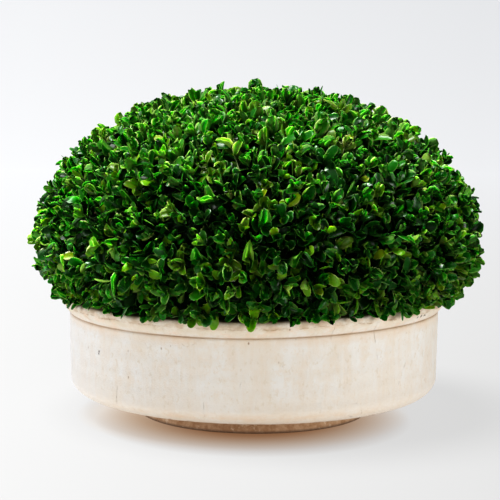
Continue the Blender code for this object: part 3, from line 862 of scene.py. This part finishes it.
def make_leaves(leaves):
    """Joined pieces of leaves, each of one colour family and under the triangle limit."""
    made = []
    for number, (name, _, gloss, blade, margin, under) in enumerate(FAMILIES):
        looks = [
            leaf_material(name + "_blade", blade, BLADE_ROUGHNESS, gloss),
            leaf_material(name + "_margin", margin, MARGIN_ROUGHNESS, gloss),
            leaf_material(name + "_underside", under, UNDERSIDE_ROUGHNESS, UNDERSIDE_GLOSS),
        ]
        for kind, template in TEMPLATES.items():
            chosen = np.flatnonzero((leaves["family"] == number) & (leaves["kind"] == kind))
            per_leaf = 2 * len(template[1]) + len(template[2])
            pieces = math.ceil(len(chosen) * per_leaf / PIECE_TRIANGLES)
            for piece in range(pieces):
                part = chosen[piece::pieces]
                points = leaf_points(template, {key: values[part] for key, values in leaves.items()})
                shift = (np.arange(len(part)) * points.shape[1])[:, None, None]
                quads = (template[1][None] + shift).reshape(-1, 4)
                triangles = (template[2][None] + shift).reshape(-1, 3)
                indices = [np.tile(template[3], len(part)), np.tile(template[4], len(part))]
                label = "leaves_%s_%s_%d" % (name, kind, piece + 1)
                made.append(mesh_object(label, points.reshape(-1, 3), [quads, triangles], looks, indices))
    return made


def tubes(middle, along, radii, sides):
    """Points and quads of closed tubes down rows of middle points, each square to its own way."""
    count, rows = middle.shape[:2]
    helper = np.where(np.abs(along[:, 2:]) < 0.9, np.array([[0.0, 0.0, 1.0]]), np.array([[1.0, 0.0, 0.0]]))
    first = unit(np.cross(along, helper))
    second = np.cross(along, first)
    corner = np.arange(sides) * 2 * math.pi / sides
    ring = first[:, None] * np.cos(corner)[:, None] + second[:, None] * np.sin(corner)[:, None]
    points = middle[:, :, None] + ring[:, None] * radii[:, None, None]
    base = np.arange(rows - 1)[:, None] * sides
    near, far = np.arange(sides), (np.arange(sides) + 1) % sides
    walls = np.stack([base + near, base + far, base + sides + far, base + sides + near], -1).reshape(-1, 4)
    ends = np.stack([near[::-1], near + (rows - 1) * sides])
    shift = (np.arange(count) * rows * sides)[:, None, None]
    faces = [(group[None] + shift).reshape(-1, group.shape[1]) for group in (walls, ends)]
    return points.reshape(-1, 3), faces


def make_twigs(tips, ways, bend):
    """One thin tapered four-sided shoot for each sprig, from inside the form to its tip."""
    depths = np.linspace(TWIG_ROOT_DEPTH, 0.002, TWIG_ROWS)
    radii = np.linspace(TWIG_ROOT_RADIUS, TWIG_TIP_RADIUS, TWIG_ROWS)
    middle = tips[:, None] - ways[:, None] * depths[:, None] + bend[:, None] * (0.10 * depths[:, None])
    shoot = plain_material("young_shoot", SHOOT, 0.6)
    return mesh_object("twigs", *tubes(middle, ways, radii, TWIG_SIDES), [shoot])


def make_boughs(bark):
    """Tapered boughs from the stem's top, each on a bend that ends just outside the form."""
    ends = even_points(BOUGH_COUNT)
    ends -= crown_normals(ends) * BOUGH_TIP_DEPTH
    root = np.array([0.0, 0.0, BOUGH_ROOT_Z])
    knee = root + (ends - root) * (0.45, 0.45, 0.60)
    share = np.linspace(0, 1, BOUGH_ROWS)[None, :, None]
    middle = root * (1 - share) ** 2 + 2 * knee[:, None] * share * (1 - share) + ends[:, None] * share**2
    along = unit(ends - root)
    radii = np.linspace(BOUGH_ROOT_RADIUS, BOUGH_TIP_RADIUS, BOUGH_ROWS)
    return mesh_object("boughs", *tubes(middle, along, radii, BOUGH_SIDES), [bark])


def make_crown(bark):
    tips, ways, bend, leaves = grow_sprigs()
    leaves = fit_leaves(leaves)
    pieces = make_leaves(leaves)
    pieces.append(make_twigs(tips, ways, bend))
    for piece in pieces:
        piece.location.x = CROWN_ASIDE
    boughs = make_boughs(bark)
    pieces += [make_form(), boughs]
    for piece in pieces:
        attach(piece, "root")
        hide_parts("foliage_dome")


# Stage, lights and camera
def make_stage():
    """A pale, glowing floor that curves up into a wall well behind the plant, with painted light and shadow in its
    glow.
    """
    profile = [(-STAGE_HALF, 0.0), (STAGE_CURVE_Y, 0.0)]
    profile += [(STAGE_CURVE_Y + STAGE_CURVE * math.sin(a), STAGE_CURVE * (1 - math.cos(a)))
                for a in np.linspace(0.05, math.pi / 2, 24)]
    profile += [(STAGE_CURVE_Y + STAGE_CURVE, 4.0)]
    rows = len(profile)
    points = [(x, y, z) for y, z in profile for x in (-STAGE_HALF, STAGE_HALF)]
    quads = np.array([(2 * k, 2 * k + 1, 2 * k + 3, 2 * k + 2) for k in range(rows - 1)])
    w = Wiring("paper_glow_and_painted_shadow", 0.9)
    x, y, _ = w.split()
    # Painted light: the glow fades from the left side to the right.
    ahead = w.sum("MAXIMUM", w.sum("ADD", y, 2.2), 1.0)
    aside = w.band(w.sum("DIVIDE", x, ahead), -0.12, 0.12)
    near = w.mix(aside, STAGE_GLOW_LEFT, STAGE_GLOW_RIGHT)
    # Painted shadow: the glow darkens round the bowl's foot.
    away = w.length(x, w.sum("ADD", y, PAINTED_SHADOW_FORWARD))
    near = w.mix(w.band(away, *PAINTED_SHADOW_REACH, 1.0, 0.0), near, PAINTED_SHADOW_GLOW)
    # Painted reflection: a warm peach tint round the foot.
    away = w.length(w.sum("SUBTRACT", x, PAINTED_BOUNCE_SPOT[0]), w.sum("SUBTRACT", y, PAINTED_BOUNCE_SPOT[1]))
    near = w.mix(w.band(away, *PAINTED_BOUNCE_REACH, 1.0, 0.0), near, PAINTED_BOUNCE_TINT, "MULTIPLY")
    far = w.mix(aside, WALL_GLOW_LEFT, WALL_GLOW_RIGHT)
    w.shader.inputs["Base Color"].default_value = (*STAGE_COLOUR, 1.0)
    w.shader.inputs["Specular IOR Level"].default_value = 0.1
    w.shader.inputs["Emission Strength"].default_value = 1.0
    w.links.new(w.mix(w.band(y, 0.3, STAGE_CURVE_Y), near, far), w.shader.inputs["Emission Color"])
    floor = mesh_object("floor", points, [quads], [w.material])
    return floor


def make_world():
    world = bpy.data.worlds.new("studio")
    bpy.context.scene.world = world
    world.use_nodes = True
    nodes, links = world.node_tree.nodes, world.node_tree.links
    seen = nodes.new("ShaderNodeBackground")
    seen.inputs["Color"].default_value = (*WORLD_SEEN, 1.0)
    light = nodes["Background"]
    light.inputs["Color"].default_value = (*WORLD_COLOUR, 1.0)
    light.inputs["Strength"].default_value = WORLD_LIGHT
    mix = nodes.new("ShaderNodeMixShader")
    links.new(nodes.new("ShaderNodeLightPath").outputs["Is Camera Ray"], mix.inputs[0])
    links.new(light.outputs[0], mix.inputs[1])
    links.new(seen.outputs[0], mix.inputs[2])
    links.new(mix.outputs[0], nodes["World Output"].inputs["Surface"])


def aim_only(lamp, bowl, floor, reach):
    """Keep a lamp for the bowl, for the foliage, or for the whole room but the bowl."""
    group = bpy.data.collections.new(lamp.name + "_reach")
    for obj in (bowl, floor) if reach == "foliage" else (bowl,):
        group.objects.link(obj)
    for linked in group.collection_objects:
        linked.light_linking.link_state = "INCLUDE" if reach == "bowl" else "EXCLUDE"
    lamp.light_linking.receiver_collection = group


def make_lights(bowl, floor):
    for name, place, size, power, colour, reach in LIGHTS:
        lamp = bpy.data.lights.new(name, "AREA")
        lamp.shape = "RECTANGLE"
        lamp.size, lamp.size_y = size
        lamp.energy = power
        lamp.color = colour
        obj = link(bpy.data.objects.new(name, lamp))
        obj.location = place
        obj.visible_camera = False
        aim = Vector((0.0, 0.0, LIGHT_AIM_Z)) - Vector(place)
        obj.rotation_euler = aim.to_track_quat("-Z", "Y").to_euler()
        aim_only(obj, bowl, floor, reach)


def make_sun(bowl, floor):
    lamp = bpy.data.lights.new("overhead", "SUN")
    lamp.energy = SUN_STRENGTH
    lamp.angle = SUN_SPREAD
    obj = link(bpy.data.objects.new("overhead", lamp))
    obj.rotation_euler = Vector(SUN_FROM).to_track_quat("Z", "Y").to_euler()
    aim_only(obj, bowl, floor, "room")


def make_camera():
    camera = bpy.data.cameras.new("camera")
    camera.sensor_width = SENSOR
    camera.lens = CAMERA_LENS
    obj = link(bpy.data.objects.new("camera", camera))
    forward = Vector((0.0, math.cos(CAMERA_PITCH), -math.sin(CAMERA_PITCH)))
    upright = Vector((0.0, math.sin(CAMERA_PITCH), math.cos(CAMERA_PITCH)))
    level = Vector((1.0, 0.0, 0.0))
    right = level * math.cos(CAMERA_ROLL) + upright * math.sin(CAMERA_ROLL)
    up = upright * math.cos(CAMERA_ROLL) - level * math.sin(CAMERA_ROLL)
    turn = Matrix((right, up, -forward)).transposed().to_4x4()
    obj.matrix_world = Matrix.Translation((CAMERA_ASIDE, -CAMERA_DISTANCE, CAMERA_HEIGHT)) @ turn
    bpy.context.scene.camera = obj


make_camera()
bowl = make_bowl()
make_filling()
bark = bark_material()
make_stem(bark)
make_crown(bark)
floor = make_stage()
make_world()
make_lights(bowl, floor)
make_sun(bowl, floor)
bpy.context.scene.view_settings.view_transform = "Standard"
bpy.context.scene.view_settings.look = LOOK
